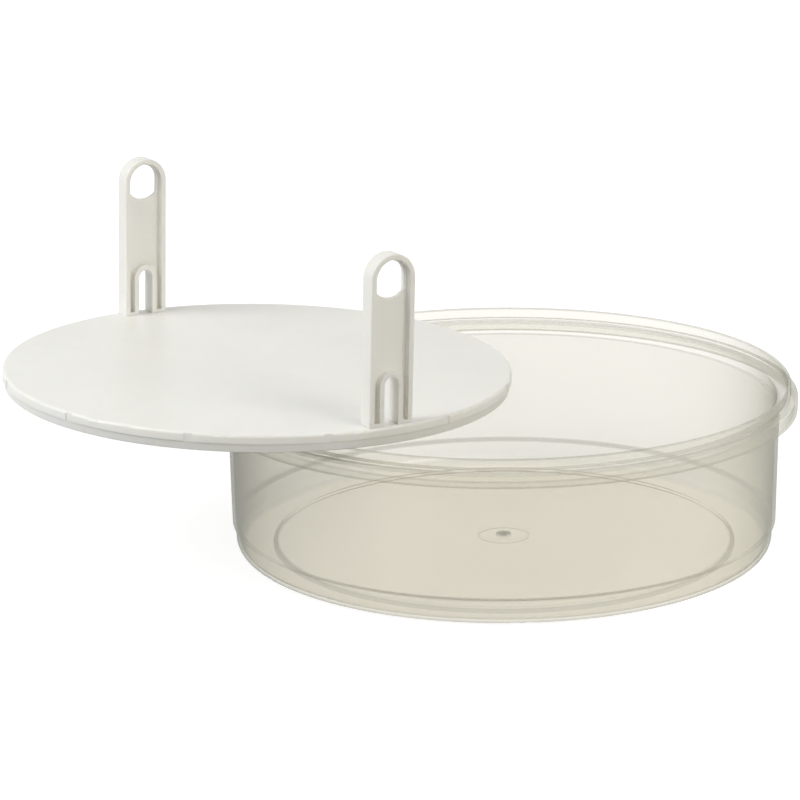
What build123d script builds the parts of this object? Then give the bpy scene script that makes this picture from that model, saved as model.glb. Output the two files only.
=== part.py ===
from build123d import *
from math import atan, cos, radians, sin, tan
import os

os.makedirs("parts", exist_ok=True)

# A round cake box with a lift-out tray, parked across the rim of the box.
# Millimetres, +Z up. The box stands on Z = 0 and the tray lies towards -X.

# ---- Box ----
box_height = 100.0
lip_radius = 170.0
lip_wall = 1.8
lip_height = 7.2
flange_thickness = 2.3
collar_overhang = 4.0
collar_wall = 1.7
collar_depth = 8.6
wall_inset = 6.4
wall_thickness = 1.9
wall_draft = 1.16
foot_height = 14.8
foot_inset = 2.1
foot_corner = 6.5
step_rise = 1.4
floor_thickness = 2.0
panel_inset = 22.0
panel_lift = 1.6
panel_slope = 2.4
gate_pad_radius = 15.0
gate_pad_depth = 0.4
gate_dimple_radius = 4.5
gate_dimple_depth = 0.8
gate_pip_radius = 1.4
gate_pip_height = 0.6
edge_break = 0.5

# ---- Tray ----
tray_radius = 149.9
tray_height = 10.4
tray_plate = 2.4
tray_edge_round = 1.7
band_height = 5.2
band_step = 0.5
skirt_wall = 2.1
skirt_draft = 10.0
skirt_bite = 0.4
notch_count = 12
notch_width = 5.0
foot_ring_radius = 50.0
foot_ring_wall = 2.0
foot_ring_drop = 2.05
stiffener_inset = 50.0
rib_thickness = 1.6
rib_depth = 5.0

# ---- Handles ----
handle_height = 97.8
handle_width = 28.4
handle_thickness = 10.0
handle_web = 2.0
handle_rim = 3.2
handle_edge_round = 0.8
handle_setback = 7.0
handle_azimuth = -61.6
hole_half_width = 9.2
hole_top_margin = 4.4
hole_side_height = 77.1
hole_bottom_sag = 4.8
hole_edge_round = 0.9
foot_arch_half_width = 4.7
foot_arch_height = 28.0
foot_arch_border = 2.9
foot_rib_height = 2.0

# ---- Snap pegs under each handle ----
peg_spacing = 19.1
peg_width = 6.4
peg_depth = 4.0
peg_clearance = 0.2
boss_wall = 2.0
boss_depth = 5.0
barb_reach = 0.8
barb_length = 1.8

# ---- How the tray is parked on the box ----
tray_inset = 23.6
rest_gap = 0.25

# ---- Sizes that follow ----
collar_radius = lip_radius + collar_overhang
wall_top_radius = lip_radius - wall_inset
flange_top = box_height - lip_height
flange_bottom = flange_top - flange_thickness
collar_bottom = flange_top - collar_depth
step_top = foot_height + step_rise
wall_low_radius = wall_top_radius - (flange_bottom - step_top) * tan(radians(wall_draft))
foot_radius = wall_low_radius - foot_inset
panel_radius = foot_radius - panel_inset
panel_edge_radius = panel_radius - panel_slope

skirt_radius = tray_radius - band_step
skirt_low_radius = skirt_radius - band_height * tan(radians(skirt_draft))
skirt_inner_radius = skirt_radius - skirt_wall
under_rib_reach = skirt_inner_radius + skirt_bite
plate_bottom = tray_height - tray_plate
stiffener_radius = tray_radius - stiffener_inset
notch_pitch = 360 / notch_count

handle_radius = tray_radius - handle_setback
arch_spring = handle_height - handle_width / 2
hole_spring = handle_height - hole_top_margin - hole_half_width
pocket_half_width = handle_width / 2 - handle_rim
foot_arch_spring = foot_arch_height - foot_arch_half_width
border_half_width = foot_arch_half_width + foot_arch_border
barb_seat = tray_plate + boss_depth + peg_clearance

# The tray rests on the lip at four points: its skirt bears where the skirt's circle crosses the lip's,
# and the deeper foot ring where its own circle does. The difference in depth tips the tray.
lip_middle_radius = lip_radius - lip_wall / 2
tray_offset = lip_middle_radius - tray_inset


def crossing(circle_radius):
    """Distance from the tray's centre, towards the box, of the chord in which a circle meets the lip."""
    return (tray_offset**2 + circle_radius**2 - lip_middle_radius**2) / (2 * tray_offset)


skirt_bearing = crossing(skirt_low_radius - skirt_wall / 2)
ring_bearing = crossing(foot_ring_radius - foot_ring_wall / 2)
tray_tilt = atan(foot_ring_drop / (skirt_bearing - ring_bearing))
tray_base_height = box_height + rest_gap + skirt_bearing * sin(tray_tilt)

# The origin lies on the ground below the middle of the whole group.
tray_reach = tray_offset + tray_radius * cos(tray_tilt) - (band_height + edge_break) * sin(tray_tilt)
box_axis_x = (tray_reach - collar_radius) / 2

# ---- Frames of the pieces ----
box_level = Plane(origin=(box_axis_x, 0, 0), z_dir=(0, 0, 1))
box_section = Plane(origin=box_level.origin, x_dir=(1, 0, 0), z_dir=(0, -1, 0))
box_axis = Axis(box_level.origin, box_level.z_dir)

tray_level = Plane(
    origin=(box_axis_x - tray_offset, 0, tray_base_height),
    x_dir=(cos(tray_tilt), 0, -sin(tray_tilt)),
    z_dir=(sin(tray_tilt), 0, cos(tray_tilt)),
)
tray_section = Plane(origin=tray_level.origin, x_dir=tray_level.x_dir, z_dir=-tray_level.y_dir)
tray_axis = Axis(tray_level.origin, tray_level.z_dir)


def handle_plane(azimuth):
    """Upright plane on the tray's top, facing out: its X runs round the rim and its Y runs up."""
    up = tray_level.z_dir
    outward = tray_level.x_dir.rotate(Axis((0, 0, 0), up), azimuth)
    origin = tray_level.origin + outward * handle_radius + up * tray_height
    return Plane(origin=origin, x_dir=up.cross(outward), z_dir=outward)


def corner(section, radius, height):
    """The corner of a turned section that is nearest to a radius and a height."""
    return section.vertices().sort_by_distance((radius, height))[0]


def block(left, bottom, right, top):
    """A rectangle of a section, from its lower left corner to its upper right one."""
    with Locations((left, bottom)):
        Rectangle(right - left, top - bottom, align=Align.MIN)


def arch(half_width, bottom, spring, mode=Mode.ADD):
    """A straight-sided shape with a round top that springs at the given height."""
    with Locations((0, bottom)):
        Rectangle(2 * half_width, spring - bottom, align=(Align.CENTER, Align.MIN), mode=mode)
    with Locations((0, spring)):
        Circle(half_width, mode=mode)


# ---- Box: cup, flange, lip and collar in one moulding ----
foot_inner_radius = foot_radius - wall_thickness
with BuildPart() as box:
    with BuildSketch(box_section) as section:
        with BuildLine():
            Polyline(
                (0, panel_lift),
                (panel_edge_radius, panel_lift),
                (panel_radius, 0),
                (foot_radius, 0),
                (foot_radius, foot_height),
                (wall_low_radius, step_top),
                (wall_top_radius, flange_bottom),
                (wall_top_radius, flange_top),
                (wall_top_radius - wall_thickness, flange_top),
                (wall_low_radius - wall_thickness, step_top),
                (foot_inner_radius, foot_height),
                (foot_inner_radius, floor_thickness),
                (panel_radius, floor_thickness),
                (panel_edge_radius, panel_lift + floor_thickness),
                (0, panel_lift + floor_thickness),
                close=True,
            )
        make_face()
        block(wall_top_radius - wall_thickness, flange_bottom, collar_radius, flange_top)
        block(lip_radius - lip_wall, flange_bottom, lip_radius, box_height)
        block(collar_radius - collar_wall, collar_bottom, collar_radius, flange_top)
        fillet(corner(section, foot_radius, 0), foot_corner)
        fillet(corner(section, foot_inner_radius, floor_thickness), foot_corner - wall_thickness)
        for radius, height in (
            (lip_radius, box_height),
            (lip_radius - lip_wall, box_height),
            (collar_radius, flange_top),
            (wall_top_radius - wall_thickness, flange_top),
        ):
            chamfer(corner(section, radius, height), edge_break)
    revolve(axis=box_axis)
    with BuildSketch(box_level.offset(panel_lift)):
        Circle(gate_pad_radius)
    extrude(amount=gate_pad_depth, mode=Mode.SUBTRACT)
    with BuildSketch(box_level.offset(panel_lift)):
        Circle(gate_dimple_radius)
    extrude(amount=gate_pad_depth + gate_dimple_depth, mode=Mode.SUBTRACT)
    with BuildSketch(box_level.offset(panel_lift + gate_pad_depth + gate_dimple_depth)):
        Circle(gate_pip_radius)
    extrude(amount=-gate_pip_height)
box.part.label = "box"
export_step(box.part, "parts/box.step")


# ---- Tray: plate, side band, stepped skirt and foot ring in one moulding ----
boss_width = peg_spacing + peg_width + 2 * boss_wall
boss_inner = handle_radius - peg_depth / 2 - boss_wall
with BuildPart() as tray:
    with BuildSketch(tray_section) as section:
        with BuildLine():
            Polyline(
                (0, plate_bottom),
                (skirt_inner_radius, plate_bottom),
                (skirt_inner_radius, band_height),
                (skirt_low_radius - skirt_wall, 0),
                (skirt_low_radius, 0),
                (skirt_radius, band_height),
                (tray_radius, band_height),
                (tray_radius, tray_height),
                (0, tray_height),
                close=True,
            )
        make_face()
        block(foot_ring_radius - foot_ring_wall, -foot_ring_drop, foot_ring_radius, plate_bottom)
        block(stiffener_radius - rib_thickness, plate_bottom - rib_depth, stiffener_radius, plate_bottom)
        fillet(corner(section, tray_radius, tray_height), tray_edge_round)
        for radius, height in (
            (skirt_low_radius, 0),
            (foot_ring_radius, -foot_ring_drop),
            (foot_ring_radius - foot_ring_wall, -foot_ring_drop),
        ):
            chamfer(corner(section, radius, height), edge_break)
    revolve(axis=tray_axis)
    # Stiffening ribs from the foot ring to the skirt, under the portion notches.
    with BuildSketch(tray_level.offset(plate_bottom - rib_depth)):
        with PolarLocations(foot_ring_radius, notch_count, start_angle=handle_azimuth + notch_pitch / 2):
            Rectangle(under_rib_reach - foot_ring_radius, rib_thickness, align=(Align.MIN, Align.CENTER))
    extrude(amount=rib_depth)
    # Portion notches: the band's step runs up the side of the tray there.
    with BuildSketch(tray_level.offset(band_height)):
        with PolarLocations(skirt_inner_radius, notch_count, start_angle=handle_azimuth + notch_pitch / 2):
            Rectangle(2 * skirt_wall + band_step, notch_width, align=(Align.MIN, Align.CENTER))
        Circle(skirt_radius, mode=Mode.SUBTRACT)
    extrude(amount=tray_height, mode=Mode.SUBTRACT)
    # A boss under each handle, with a slot for each of its two pegs.
    with BuildSketch(tray_level.offset(plate_bottom - boss_depth)):
        with PolarLocations(boss_inner, 2, start_angle=handle_azimuth):
            Rectangle(under_rib_reach - boss_inner, boss_width, align=(Align.MIN, Align.CENTER))
    extrude(amount=boss_depth)
    with BuildSketch(tray_level):
        with PolarLocations(handle_radius, 2, start_angle=handle_azimuth):
            with Locations((0, -peg_spacing / 2), (0, peg_spacing / 2)):
                Rectangle(peg_depth + 2 * peg_clearance, peg_width + 2 * peg_clearance)
    extrude(amount=tray_height, mode=Mode.SUBTRACT)
tray.part.label = "tray"
export_step(tray.part, "parts/tray.step")


# ---- Handle: modelled once, with X round the rim, Y up and Z outwards ----
with BuildPart() as handle:
    with BuildSketch(Plane.XY):
        arch(handle_width / 2, 0, arch_spring)
    extrude(amount=handle_thickness / 2, both=True)
    outer_edges = handle.faces().filter_by(Axis.Z).edges()
    fillet(outer_edges.sort_by(Axis.Y)[2:], handle_edge_round)
    # The pocket on each side leaves a rim, a border round the foot arch and a low rib across the foot.
    for side in (1, -1):
        with BuildSketch(Plane.XY.offset(side * handle_web / 2)):
            arch(pocket_half_width, foot_rib_height, arch_spring)
            arch(border_half_width, 0, foot_arch_spring, mode=Mode.SUBTRACT)
        extrude(amount=side * handle_thickness, mode=Mode.SUBTRACT)
    # Finger hole with a round top and a hollowed bottom edge, rounded for the fingers all the way round.
    with BuildSketch(Plane.XY):
        with BuildLine():
            Line((-hole_half_width, hole_spring), (-hole_half_width, hole_side_height))
            ThreePointArc(
                (-hole_half_width, hole_side_height),
                (0, hole_side_height - hole_bottom_sag),
                (hole_half_width, hole_side_height),
            )
            Line((hole_half_width, hole_side_height), (hole_half_width, hole_spring))
            ThreePointArc(
                (hole_half_width, hole_spring),
                (0, hole_spring + hole_half_width),
                (-hole_half_width, hole_spring),
            )
        make_face()
    extrude(amount=handle_thickness, both=True, mode=Mode.SUBTRACT)
    hole_edges = handle.edges(Select.LAST).group_by(Axis.Z)
    fillet(hole_edges[0] + hole_edges[-1], hole_edge_round)
    with BuildSketch(Plane.XY):
        arch(foot_arch_half_width, 0, foot_arch_spring)
    extrude(amount=handle_thickness, both=True, mode=Mode.SUBTRACT)
    # Pegs through the tray, each with a barb that catches below the boss.
    with BuildSketch(Plane.XZ):
        with Locations((-peg_spacing / 2, 0), (peg_spacing / 2, 0)):
            Rectangle(peg_width, peg_depth)
    extrude(amount=barb_seat + barb_length)
    for side in (1, -1):
        peg_edge = side * (peg_spacing + peg_width) / 2
        with BuildSketch(Plane.XY):
            with BuildLine():
                Polyline(
                    (peg_edge, -barb_seat),
                    (peg_edge + side * barb_reach, -barb_seat),
                    (peg_edge, -barb_seat - barb_length),
                    close=True,
                )
            make_face()
        extrude(amount=peg_depth / 2, both=True)

# Two of them stand half a turn apart, each snapped into the tray by its two pegs.
for name, azimuth in (("handle_front", handle_azimuth), ("handle_back", handle_azimuth + 180)):
    placed_handle = handle_plane(azimuth).location * handle.part
    placed_handle.label = name
    export_step(placed_handle, f"parts/{name}.step")
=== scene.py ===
import math
import bpy
from mathutils import Matrix, Vector


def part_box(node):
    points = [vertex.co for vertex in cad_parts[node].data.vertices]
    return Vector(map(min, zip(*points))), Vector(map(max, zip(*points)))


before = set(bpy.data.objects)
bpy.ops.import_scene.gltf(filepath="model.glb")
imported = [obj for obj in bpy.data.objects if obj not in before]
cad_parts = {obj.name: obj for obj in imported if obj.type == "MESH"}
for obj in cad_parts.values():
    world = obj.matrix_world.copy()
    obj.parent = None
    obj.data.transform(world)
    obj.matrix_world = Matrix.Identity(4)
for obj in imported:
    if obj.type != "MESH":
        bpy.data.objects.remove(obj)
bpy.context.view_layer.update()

# A round cake box of translucent polypropylene with a white lift-out tray. Metres, Z up.


def upright_axis(piece):
    """The point on the ground below the middle of a piece, read from the frame."""
    low, high = (Vector(corner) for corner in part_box(piece))
    return Vector(((low.x + high.x) / 2, (low.y + high.y) / 2, 0))


BOX_AXIS = upright_axis("box")
TRAY_AXIS = upright_axis("tray")

# ---- Camera ----
CAMERA_FROM_AXIS = Vector((-0.1945, -2.0502, 0.6635))
CAMERA_HEADING = math.radians(3.716)
CAMERA_DIP = 0.2731
CAMERA_ROLL = -0.0117
SENSOR_WIDTH = 36.0
FOCAL_LENGTH = 162.0
VIEW_DEPTH = 20.0

# ---- Colours of the plastics, in linear light ----
MILKY_POLYPROPYLENE = (0.92, 0.87, 0.70)
CLOUDED_POLYPROPYLENE = (0.87, 0.81, 0.63)
# Gate mark colour, and the painted shade colour that edges, dark lines and the flange top turn to
GATE_AND_SHADE_POLYPROPYLENE = (0.21, 0.235, 0.245)
GLOWING_POLYPROPYLENE = (0.92, 0.93, 0.92)
WARM_WHITE = (0.875, 0.87, 0.83)
SHADED_WHITE = (0.845, 0.835, 0.785)
BLUSH_RADIUS = (1.0, 0.9, 0.75)

# ---- What one skin of the box does to the light that goes straight through ----
WALL_TINT = (0.968, 0.963, 0.940)
# Partly painted shade: the floor panel tints more, for its longer slanting path and standing in for the warm
# shadow beneath the box
PANEL_TINT_AND_SHADE = (0.962, 0.944, 0.900)
RIM_TINT = (0.992, 0.988, 0.970)
# Painted shade: light through a skin seen edge-on is tinted dark, standing in for refraction at the box's
# edges; partly the longer path through the plastic
PAINTED_EDGE_SHADE_TINT = (0.47, 0.475, 0.41)

# ---- Places on the box ----
GATE_DOT_RADIUS = 0.0042
GATE_DOT_BLUR = 0.0008
GATE_PAD_RADIUS = 0.0150
GATE_PAD_LINE = 0.0009
PANEL_TOP = 0.0045
PANEL_BLUR = 0.0004
# Where the painted dark lines lie: the floor's ring, the step, the ends of collar and lip, and the foot's
# round
UNDERSIDE_BELOW = 0.0017
UNDERSIDE_END = 0.0019
RING_LINE_RADIUS = 0.1364
RING_LINE_WIDTH = 0.0036
STEP_LINE_HEIGHT = 0.0153
STEP_LINE_WIDTH = 0.0022
COLLAR_LINE_HEIGHT = 0.0845
LIP_LINE_HEIGHT = 0.0994
RIM_LINE_WIDTH = 0.0008
FOOT_ROUND_RADIUS = 0.1535
FOOT_ROUND_HEIGHT = 0.0065
FOOT_ROUND_INNER = 0.0052
FOOT_ROUND_OUTER = 0.0060
FOOT_ROUND_BLUR = 0.0005
RIM_FROM = 0.0840
RIM_BLUR = 0.0002
FLANGE_FROM = 0.0902
FLANGE_BLUR = 0.0005

# ---- How strongly each place shows ----
GATE_RING_SHARE = 0.22
# How strongly the painted dark lines and the painted flange shade show
RING_SHARE = 0.65
STEP_SHARE = 0.6
RIM_LINE_SHARE = 0.8
FOOT_ROUND_SHARE = 2.5
LINE_SHADE_SHARE = 0.70
FLANGE_SHADE_SHARE = 0.55
CLOUDED_SHARE = 0.4
SHADED_SHARE = 0.35
GLOW_SHARE = 0.3
GLOSS_SHARE = 0.8

# ---- How fast a mask rises as a face turns level or turns away from the eye ----
LEVEL_POWER = 16.0
LEVEL_FACING = 0.1
FOOT_ROUND_POWER = 6.0
# The painted edge shade rises with this power
EDGE_SHADE_POWER = 3.2
BEND_POWER = 4.0
OUTLINE_POWER = 14.0
DULLING_POWER = 2.0

# ---- The part of the light that a skin scatters, first at each place and then on top of it ----
WALL_HAZE = 0.15
LEVEL_HAZE = 0.04
RIM_HAZE = 0.09
# Painted shade: the haze added at edges, dark lines and the flange top
EDGE_SHADE_HAZE = 0.04
LINE_SHADE_HAZE = 0.30
FLANGE_SHADE_HAZE = 0.48
OUTLINE_HAZE = 0.28
GATE_HAZE = 0.50

# ---- Grain, streaks, rubs and gloss of the plastics ----
PLASTIC_INDEX = 1.49
CLOUD_SPECULAR = 0.05
GRAIN_SHARE = 0.08
DRIFT_RANGE = (0.3, 0.7)
STREAK_RANGE = (0.35, 0.68)
HAIR_LAYS = ((0.5, (1, 26, 1)), (2.1, (22, 1, 1)))
HAIR_WIDTH = 0.012
PATCH_SCALE = 18.0
PATCH_RANGE = (0.5, 0.66)
BOX_RUB = 0.10
WHITE_RUB = 0.12
WHITE_RUB_DEPTH = -0.6
BAND_CORE = 0.35
BAND_REACH = 0.65

# ---- Studio ----
STUDIO_WHITE = (1.0, 1.0, 1.0)
STUDIO_DIM = (0.42, 0.43, 0.44)
STUDIO_GREY = (0.36, 0.36, 0.36)
COOL_LIGHT = (0.985, 0.995, 1.0)
WARM_LIGHT = (1.0, 0.955, 0.86)
STUDIO_REACH = 6.0
STUDIO_DROP = 0.0005
SEEN_GLOW = 0.80
SEEN_GLOW_FROM = 0.25
SEEN_GLOW_FULL = 1.2
WORLD_STRENGTH = 0.35
CEILING_FROM = 0.25
CEILING_FULL = 0.75
LAMP_AIM = Vector((0, 0, 0.08))
LAMPS = (
    ("key", Vector((-1.29, -0.35, 1.13)), 1.1, 17.5, COOL_LIGHT),
    ("fill", Vector((1.08, -1.20, 1.09)), 1.2, 12, WARM_LIGHT),
    ("side", Vector((1.56, 0.0, 1.17)), 1.2, 4, WARM_LIGHT),
)


def colour(rgb):
    """A colour with its opacity, as a socket takes it."""
    return (*rgb, 1.0)


class Tree:
    """Short ways to add and join the nodes of one tree."""

    def __init__(self, tree):
        self.tree = tree
        self.nodes = tree.nodes

    def join(self, source, target):
        self.tree.links.new(source, target)

    def fill(self, socket, value):
        """Join an output to the socket, or give it a plain value."""
        if isinstance(value, bpy.types.NodeSocket):
            self.join(value, socket)
        else:
            socket.default_value = value

    def node(self, kind, settings=None, **inputs):
        """A new node, with its settings and its inputs by name."""
        made = self.nodes.new(kind)
        for name, value in (settings or {}).items():
            setattr(made, name, value)
        for name, value in inputs.items():
            self.fill(made.inputs[name.replace("_", " ")], value)
        return made

    def use(self, effect, **inputs):
        """One of the shared effects, with its inputs by name."""
        return self.node("ShaderNodeGroup", {"node_tree": effect}, **inputs).outputs

    def math(self, operation, *values, clamp=False):
        made = self.node("ShaderNodeMath", {"operation": operation, "use_clamp": clamp})
        for socket, value in zip(made.inputs, values):
            self.fill(socket, value)
        return made.outputs[0]

    def most(self, first, *others):
        """The largest of several values."""
        for other in others:
            first = self.math("MAXIMUM", first, other)
        return first

    def product(self, first, *others, clamp=False):
        for other in others:
            first = self.math("MULTIPLY", first, other, clamp=clamp)
        return first

    def away(self, value, middle):
        """How far a value lies from the middle, to either side."""
        return self.math("ABSOLUTE", self.math("SUBTRACT", value, middle))

    def past(self, value, start):
        """How far a value lies past the start, and nought before it."""
        return self.math("MAXIMUM", self.math("SUBTRACT", value, start), 0.0)

    def vector(self, operation, first, second=None):
        made = self.node("ShaderNodeVectorMath", {"operation": operation})
        self.fill(made.inputs[0], first)
        if second is not None:
            self.fill(made.inputs["Scale" if operation == "SCALE" else 1], second)
        return made.outputs["Value" if operation == "LENGTH" else "Vector"]

    def flat(self, vector):
        """The vector without its height."""
        return self.vector("MULTIPLY", vector, (1, 1, 0))

    def height(self, vector):
        return self.node("ShaderNodeSeparateXYZ", Vector=vector).outputs["Z"]

    def placed(self, vector, shift=(0, 0, 0), turn=(0, 0, 0), scale=(1, 1, 1)):
        made = self.node("ShaderNodeMapping", Vector=vector, Location=shift, Rotation=turn, Scale=scale)
        return made.outputs[0]

    def noise(self, vector, scale, detail=2.0, roughness=0.5, distortion=0.0):
        made = self.node("ShaderNodeTexNoise", Vector=vector, Scale=scale, Detail=detail,
                         Roughness=roughness, Distortion=distortion)
        return made.outputs["Fac"]

    def ramp(self, value, low, high, to_low=0.0, to_high=1.0):
        """A value taken softly from one range to another, held at both ends."""
        settings = {"interpolation_type": "SMOOTHSTEP", "clamp": True}
        made = self.node("ShaderNodeMapRange", settings, Value=value, From_Min=low, From_Max=high,
                         To_Min=to_low, To_Max=to_high)
        return made.outputs["Result"]

    def band(self, value, middle, width):
        """One in a band of this width, nought outside it, with soft borders."""
        return self.ramp(self.away(value, middle), width * BAND_CORE, width * BAND_REACH, 1.0, 0.0)

    def blend(self, fac, first, second):
        """From the first colour to the second."""
        made = self.node("ShaderNodeMix", {"data_type": "RGBA"}, Factor=fac)
        colour_inputs = [socket for socket in made.inputs if socket.type == "RGBA"]
        for socket, value in zip(colour_inputs, (first, second)):
            self.fill(socket, value)
        return next(socket for socket in made.outputs if socket.type == "RGBA")

    def mix(self, fac, first, second):
        """From the first shader to the second."""
        made = self.node("ShaderNodeMixShader", Fac=fac)
        self.join(first, made.inputs[1])
        self.join(second, made.inputs[2])
        return made.outputs[0]


def new_material(name):
    """A material and its tree, with the place on the piece, the main shader and the output at hand."""
    material = bpy.data.materials.new(name)
    material.use_nodes = True
    tree = Tree(material.node_tree)
    principled = tree.nodes["Principled BSDF"]
    tree.shader = principled.inputs
    tree.principled = principled.outputs[0]
    tree.output = tree.nodes["Material Output"].inputs["Surface"]
    tree.here = tree.node("ShaderNodeTexCoord").outputs["Object"]
    return material, tree


# ---- Effects that both plastics share ----
def new_effect(name, inputs, outputs):
    """An empty shared effect; inputs are (name, kind, value) and outputs are (name, kind)."""
    group = bpy.data.node_groups.new(name, "ShaderNodeTree")
    for label, kind, value in inputs:
        socket = group.interface.new_socket(label, in_out="INPUT", socket_type="NodeSocket" + kind)
        if value is not None:
            socket.default_value = value
    for label, kind in outputs:
        group.interface.new_socket(label, in_out="OUTPUT", socket_type="NodeSocket" + kind)
    tree = Tree(group)
    tree.entry = tree.nodes.new("NodeGroupInput").outputs
    tree.result = tree.nodes.new("NodeGroupOutput").inputs
    return tree


def make_satin_skin():
    """The fine satin that the mould leaves: an even grain, with gloss that drifts from place to place."""
    tree = new_effect(
        "satin skin",
        [("Vector", "Vector", None), ("Grain Scale", "Float", 2600.0), ("Drift Scale", "Float", 22.0),
         ("Gloss Low", "Float", 0.3), ("Gloss High", "Float", 0.4)],
        [("Roughness", "Float"), ("Height", "Float")],
    )
    entry = tree.entry
    grain = tree.noise(entry["Vector"], entry["Grain Scale"], detail=3.0, roughness=0.6)
    drift = tree.noise(entry["Vector"], entry["Drift Scale"], detail=3.0, roughness=0.55)
    gloss = tree.ramp(drift, *DRIFT_RANGE, entry["Gloss Low"], entry["Gloss High"])
    lift = tree.math("MULTIPLY_ADD", grain, GRAIN_SHARE, -GRAIN_SHARE / 2)
    tree.join(tree.math("ADD", gloss, lift, clamp=True), tree.result["Roughness"])
    tree.join(grain, tree.result["Height"])
    return tree.tree


def make_melt_flow():
    """Streaks that run out from the gate in the middle of a moulding."""
    tree = new_effect(
        "melt flow",
        [("Vector", "Vector", None), ("Streaks", "Float", 9.0), ("Spread", "Float", 14.0)],
        [("Mask", "Float")],
    )
    entry = tree.entry
    flat = tree.flat(entry["Vector"])
    spokes = tree.vector("SCALE", tree.vector("NORMALIZE", flat), entry["Streaks"])
    depth = tree.product(tree.vector("LENGTH", flat), entry["Spread"])
    along = tree.node("ShaderNodeCombineXYZ", Z=depth).outputs[0]
    streak = tree.noise(tree.vector("ADD", spokes, along), 1.0, detail=4.0, roughness=0.6, distortion=0.4)
    tree.join(tree.ramp(streak, *STREAK_RANGE), tree.result["Mask"])
    return tree.tree


def make_handling_marks():
    """Hair-fine rubs from use, in two directions, gathered in patches."""
    tree = new_effect(
        "handling marks",
        [("Vector", "Vector", None), ("Hair Scale", "Float", 60.0), ("Share", "Float", 0.5)],
        [("Mask", "Float")],
    )
    entry = tree.entry
    hairs = []
    for turn, stretch in HAIR_LAYS:
        laid = tree.placed(entry["Vector"], turn=(0, 0, turn), scale=stretch)
        hair = tree.noise(laid, entry["Hair Scale"], detail=5.0, roughness=0.65, distortion=0.15)
        hairs.append(tree.ramp(tree.away(hair, 0.5), 0.0, HAIR_WIDTH, 1.0, 0.0))
    patch = tree.ramp(tree.noise(entry["Vector"], PATCH_SCALE), *PATCH_RANGE)
    tree.join(tree.product(tree.most(*hairs), patch, entry["Share"], clamp=True), tree.result["Mask"])
    return tree.tree


# ---- The box's translucent polypropylene ----
def gate_mark(tree, radius, height):
    """The spot and the faint ring that the gate leaves in the middle of the base."""
    base = tree.ramp(height, PANEL_TOP - PANEL_BLUR, PANEL_TOP + PANEL_BLUR, 1.0, 0.0)
    spot = tree.ramp(radius, GATE_DOT_RADIUS - GATE_DOT_BLUR, GATE_DOT_RADIUS + GATE_DOT_BLUR, 1.0, 0.0)
    ring = tree.ramp(tree.away(radius, GATE_PAD_RADIUS), 0.0, GATE_PAD_LINE, GATE_RING_SHARE, 0.0)
    return tree.product(tree.most(spot, ring), base)


def foot_round_shade(tree, radius, height, grazing):
    """Painted shade: a dark outline on the outer skin of the foot's round, where it turns away from the eye,
    standing in for refraction.
    """
    across = tree.past(radius, FOOT_ROUND_RADIUS)
    down = tree.math("MAXIMUM", tree.math("SUBTRACT", FOOT_ROUND_HEIGHT, height), 0.0)
    reach = tree.vector("LENGTH", tree.node("ShaderNodeCombineXYZ", X=across, Y=down).outputs[0])
    skin = tree.product(
        tree.ramp(reach, FOOT_ROUND_INNER, FOOT_ROUND_OUTER),
        tree.ramp(down, 0.0, FOOT_ROUND_BLUR),
        tree.ramp(across, 0.0, FOOT_ROUND_BLUR),
        tree.math("POWER", grazing, FOOT_ROUND_POWER),
    )
    return tree.product(skin, FOOT_ROUND_SHARE, clamp=True)


def painted_shade_lines(tree, radius, height, grazing):
    """Painted shade: dark lines at the floor's ring, the step, the ends of collar and lip, and the foot,
    standing in for refraction and shade at these steps.
    """
    ring = tree.band(radius, RING_LINE_RADIUS, RING_LINE_WIDTH)
    underside = tree.ramp(height, UNDERSIDE_BELOW, UNDERSIDE_END, RING_SHARE, 0.0)
    lines = [tree.product(ring, underside)]
    for middle, width, share in (
        (STEP_LINE_HEIGHT, STEP_LINE_WIDTH, STEP_SHARE),
        (COLLAR_LINE_HEIGHT, RIM_LINE_WIDTH, RIM_LINE_SHARE),
        (LIP_LINE_HEIGHT, RIM_LINE_WIDTH, RIM_LINE_SHARE),
    ):
        lines.append(tree.product(tree.band(height, middle, width), share))
    lines.append(foot_round_shade(tree, radius, height, grazing))
    return tree.most(*lines)


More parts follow.
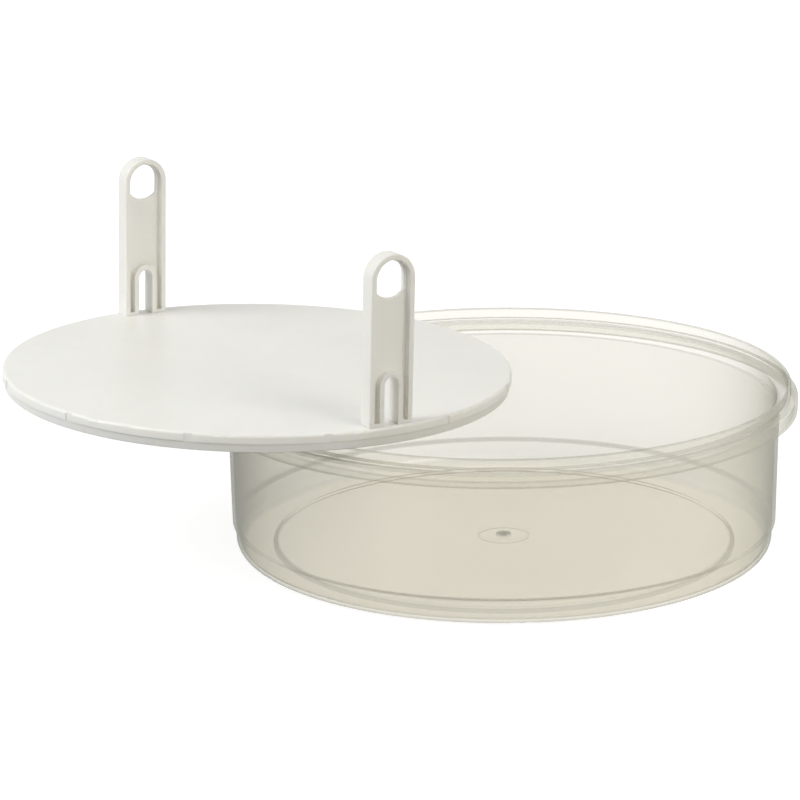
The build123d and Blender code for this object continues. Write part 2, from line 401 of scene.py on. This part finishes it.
def make_polypropylene(effects):
    """Milky film: most light goes straight through, some glows from behind, and edges, dark lines and the
    flange top are darkened as painted shade.
    """
    material, tree = new_material("translucent polypropylene")
    centred = tree.placed(tree.here, shift=tuple(-BOX_AXIS))
    flow = tree.use(effects["flow"], Vector=centred, Streaks=7.0, Spread=9.0)["Mask"]
    skin = tree.use(effects["skin"], Vector=tree.here, Grain_Scale=900.0, Drift_Scale=16.0,
                    Gloss_Low=0.14, Gloss_High=0.22)
    marks = tree.use(effects["marks"], Vector=tree.here, Hair_Scale=46.0, Share=0.5)["Mask"]
    rubbed = tree.math("MULTIPLY_ADD", marks, BOX_RUB, skin["Roughness"])
    bump = tree.node("ShaderNodeBump", Strength=0.05, Distance=0.0002, Height=skin["Height"]).outputs[0]

    # Masks by place and by the way a face is turned.
    radius = tree.vector("LENGTH", tree.flat(centred))
    height = tree.height(tree.here)
    turned = tree.math("ABSOLUTE", tree.height(tree.node("ShaderNodeTexCoord").outputs["Normal"]))
    level = tree.math("POWER", turned, LEVEL_POWER)
    grazing = tree.node("ShaderNodeLayerWeight", Blend=0.5).outputs["Facing"]
    facing = tree.product(grazing, tree.math("MULTIPLY_ADD", level, LEVEL_FACING - 1.0, 1.0))
    # Painted shade: faces seen edge-on, level ones least, turn dark in colour and tint, standing in for
    # refraction; partly the longer path through the plastic
    painted_edge_shade = tree.math("POWER", facing, EDGE_SHADE_POWER)
    outline = tree.most(tree.math("POWER", facing, BEND_POWER), tree.math("POWER", grazing, OUTLINE_POWER))
    gate = gate_mark(tree, radius, height)
    # Painted shade: dark lines at the ring, step, collar, lip and foot
    painted_line_shade = painted_shade_lines(tree, radius, height, grazing)
    rim = tree.ramp(height, RIM_FROM, RIM_FROM + RIM_BLUR)
    # Painted shade: the flange's level top darkens, standing in for the grey it shows when seen edge-on
    painted_flange_shade = tree.product(level, tree.ramp(height, FLANGE_FROM, FLANGE_FROM + FLANGE_BLUR))

    # The cloud: what the plastic scatters back and what glows through it. It darkens at the gate mark, and
    # as painted shade at edges, dark lines and the flange top.
    gate_and_painted_shade = tree.most(gate, painted_edge_shade, tree.product(painted_line_shade, LINE_SHADE_SHARE), tree.product(painted_flange_shade, FLANGE_SHADE_SHARE))
    clouded = tree.product(flow, CLOUDED_SHARE)
    milk = tree.blend(clouded, colour(MILKY_POLYPROPYLENE), colour(CLOUDED_POLYPROPYLENE))
    tree.join(tree.blend(gate_and_painted_shade, milk, colour(GATE_AND_SHADE_POLYPROPYLENE)), tree.shader["Base Color"])
    tree.join(rubbed, tree.shader["Roughness"])
    tree.join(bump, tree.shader["Normal"])
    tree.shader["IOR"].default_value = PLASTIC_INDEX
    tree.shader["Specular IOR Level"].default_value = CLOUD_SPECULAR
    glow = tree.node("ShaderNodeBsdfTranslucent", Color=colour(GLOWING_POLYPROPYLENE)).outputs[0]
    cloud = tree.mix(tree.math("MULTIPLY_ADD", gate_and_painted_shade, -GLOW_SHARE, GLOW_SHARE), tree.principled, glow)

    # The film: clear light, tinted by each skin, with the haze of the cloud over it.
    # Level skins of the floor panel tint more; partly painted shade for the warm shadow beneath the box
    tint = tree.blend(level, colour(WALL_TINT), colour(PANEL_TINT_AND_SHADE))
    tint = tree.blend(rim, tint, colour(RIM_TINT))
    # Painted shade: skins seen edge-on tint the light through them dark
    tint = tree.blend(painted_edge_shade, tint, colour(PAINTED_EDGE_SHADE_TINT))
    clear = tree.node("ShaderNodeBsdfTransparent", Color=tint).outputs[0]
    haze = tree.math("MULTIPLY_ADD", rim, RIM_HAZE - WALL_HAZE, WALL_HAZE)
    haze = tree.math("MULTIPLY_ADD", level, LEVEL_HAZE - WALL_HAZE, haze)
    for mask, share in (
        (painted_edge_shade, EDGE_SHADE_HAZE),
        (painted_line_shade, LINE_SHADE_HAZE),
        (painted_flange_shade, FLANGE_SHADE_HAZE),
        (outline, OUTLINE_HAZE),
        (gate, GATE_HAZE),
    ):
        haze = tree.math("MULTIPLY_ADD", mask, share, haze, clamp=True)
    film = tree.mix(haze, clear, cloud)

    # The gloss, alike on both skins: the inner side of a skin gets the outer side's index.
    behind = tree.node("ShaderNodeNewGeometry").outputs["Backfacing"]
    index = tree.math("MULTIPLY_ADD", behind, 1 / PLASTIC_INDEX - PLASTIC_INDEX, PLASTIC_INDEX)
    mirrored = tree.node("ShaderNodeFresnel", IOR=index).outputs[0]
    gloss = tree.node("ShaderNodeBsdfAnisotropic", Color=colour(STUDIO_WHITE), Roughness=rubbed, Normal=bump)
    dulled = tree.math("MULTIPLY_ADD", tree.math("POWER", grazing, DULLING_POWER), -GLOSS_SHARE, GLOSS_SHARE)
    tree.join(tree.mix(tree.product(mirrored, dulled, clamp=True), film, gloss.outputs[0]), tree.output)
    return material


# ---- The white plastic of the tray and its handles ----
def make_white_plastic(effects):
    """Warm white, softly glossy, with a little light under its skin."""
    material, tree = new_material("white plastic")
    centred = tree.placed(tree.here, shift=tuple(-TRAY_AXIS))
    flow = tree.use(effects["flow"], Vector=centred, Streaks=8.0, Spread=10.0)["Mask"]
    skin = tree.use(effects["skin"], Vector=tree.here, Grain_Scale=2600.0, Drift_Scale=20.0,
                    Gloss_Low=0.30, Gloss_High=0.40)
    marks = tree.use(effects["marks"], Vector=tree.here, Hair_Scale=60.0, Share=0.6)["Mask"]
    shaded = tree.product(flow, SHADED_SHARE)
    tree.join(tree.blend(shaded, colour(WARM_WHITE), colour(SHADED_WHITE)), tree.shader["Base Color"])
    tree.join(tree.math("MULTIPLY_ADD", marks, WHITE_RUB, skin["Roughness"]), tree.shader["Roughness"])
    height = tree.math("MULTIPLY_ADD", marks, WHITE_RUB_DEPTH, skin["Height"])
    bump = tree.node("ShaderNodeBump", Strength=0.12, Distance=0.00015, Height=height)
    tree.join(bump.outputs[0], tree.shader["Normal"])
    tree.shader["IOR"].default_value = PLASTIC_INDEX
    tree.shader["Subsurface Weight"].default_value = 0.5
    tree.shader["Subsurface Radius"].default_value = BLUSH_RADIUS
    tree.shader["Subsurface Scale"].default_value = 0.003
    return material


# ---- Camera and studio ----
def make_camera():
    """The camera, turned by its heading, its dip and a slight roll."""
    forward = Vector((
        math.sin(CAMERA_HEADING) * math.cos(CAMERA_DIP),
        math.cos(CAMERA_HEADING) * math.cos(CAMERA_DIP),
        -math.sin(CAMERA_DIP),
    ))
    level_right = Vector((math.cos(CAMERA_HEADING), -math.sin(CAMERA_HEADING), 0))
    level_up = level_right.cross(forward)
    right = level_right * math.cos(CAMERA_ROLL) + level_up * math.sin(CAMERA_ROLL)
    up = level_up * math.cos(CAMERA_ROLL) - level_right * math.sin(CAMERA_ROLL)
    data = bpy.data.cameras.new("camera")
    data.sensor_width = SENSOR_WIDTH
    data.lens = FOCAL_LENGTH
    data.clip_end = VIEW_DEPTH
    camera = bpy.data.objects.new("camera", data)
    bpy.context.scene.collection.objects.link(camera)
    turn = Matrix((right, up, -forward)).transposed().to_4x4()
    camera.matrix_world = Matrix.Translation(BOX_AXIS + CAMERA_FROM_AXIS) @ turn
    bpy.context.scene.camera = camera


def seen_directly(tree, *kinds):
    """One where a ray of any of these kinds looks, else nought."""
    path = tree.node("ShaderNodeLightPath").outputs
    return tree.most(*(path[kind] for kind in kinds))


def make_floor():
    """A pale floor that keeps the shadow; camera and gloss see it glow, and turn white further out."""
    corners = [(-1, -1), (1, -1), (1, 1), (-1, 1)]
    mesh = bpy.data.meshes.new("floor")
    mesh.from_pydata([(x * STUDIO_REACH, y * STUDIO_REACH, 0) for x, y in corners], [], [(0, 1, 2, 3)])
    floor = bpy.data.objects.new("floor", mesh)
    floor.location.z = -STUDIO_DROP
    bpy.context.scene.collection.objects.link(floor)
    material, tree = new_material("floor")
    tree.shader["Base Color"].default_value = colour(STUDIO_GREY)
    tree.shader["Roughness"].default_value = 0.8
    seen = seen_directly(tree, "Is Camera Ray", "Is Transmission Ray", "Is Glossy Ray")
    glow = tree.ramp(tree.vector("LENGTH", tree.here), SEEN_GLOW_FROM, SEEN_GLOW_FULL, SEEN_GLOW, 1.0)
    emission = tree.node("ShaderNodeEmission", Color=colour(STUDIO_WHITE), Strength=tree.product(seen, glow))
    lit = tree.node("ShaderNodeAddShader")
    tree.join(tree.principled, lit.inputs[0])
    tree.join(emission.outputs[0], lit.inputs[1])
    tree.join(lit.outputs[0], tree.output)
    floor.data.materials.append(material)


def make_lamp(name, place, size, power, light):
    """A round soft lamp, aimed at the object."""
    data = bpy.data.lights.new(name, "AREA")
    data.shape = "DISK"
    data.size = size
    data.energy = power
    data.color = light
    lamp = bpy.data.objects.new(name, data)
    lamp.location = place
    lamp.rotation_euler = (LAMP_AIM - place).to_track_quat("-Z", "Y").to_euler()
    bpy.context.scene.collection.objects.link(lamp)


def make_world():
    """Even studio light; the camera sees white, and gloss sees it dim towards the ceiling."""
    world = bpy.data.worlds.new("studio")
    bpy.context.scene.world = world
    world.use_nodes = True
    tree = Tree(world.node_tree)
    light = tree.nodes["Background"]
    light.inputs["Strength"].default_value = WORLD_STRENGTH
    light.inputs["Color"].default_value = colour(STUDIO_WHITE)
    look = tree.node("ShaderNodeTexCoord").outputs["Generated"]
    up = tree.ramp(tree.height(look), CEILING_FROM, CEILING_FULL)
    shade = tree.blend(up, colour(STUDIO_WHITE), colour(STUDIO_DIM))
    mirrored = tree.node("ShaderNodeBackground", Color=shade)
    white = tree.node("ShaderNodeBackground", Color=colour(STUDIO_WHITE))
    glossy = seen_directly(tree, "Is Transmission Ray", "Is Glossy Ray")
    studio = tree.mix(glossy, light.outputs[0], mirrored.outputs[0])
    studio = tree.mix(seen_directly(tree, "Is Camera Ray"), studio, white.outputs[0])
    tree.join(studio, tree.nodes["World Output"].inputs["Surface"])


effects = {
    "skin": make_satin_skin(),
    "flow": make_melt_flow(),
    "marks": make_handling_marks(),
}
white_plastic = make_white_plastic(effects)
finishes = {
    "box": make_polypropylene(effects),
    "tray": white_plastic,
    "handle_front": white_plastic,
    "handle_back": white_plastic,
}
for name, finish in finishes.items():
    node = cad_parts[name]
    node.data.materials.clear()
    node.data.materials.append(finish)

make_camera()
make_floor()
for lamp in LAMPS:
    make_lamp(*lamp)
make_world()

bpy.context.scene.view_settings.view_transform = "Standard"
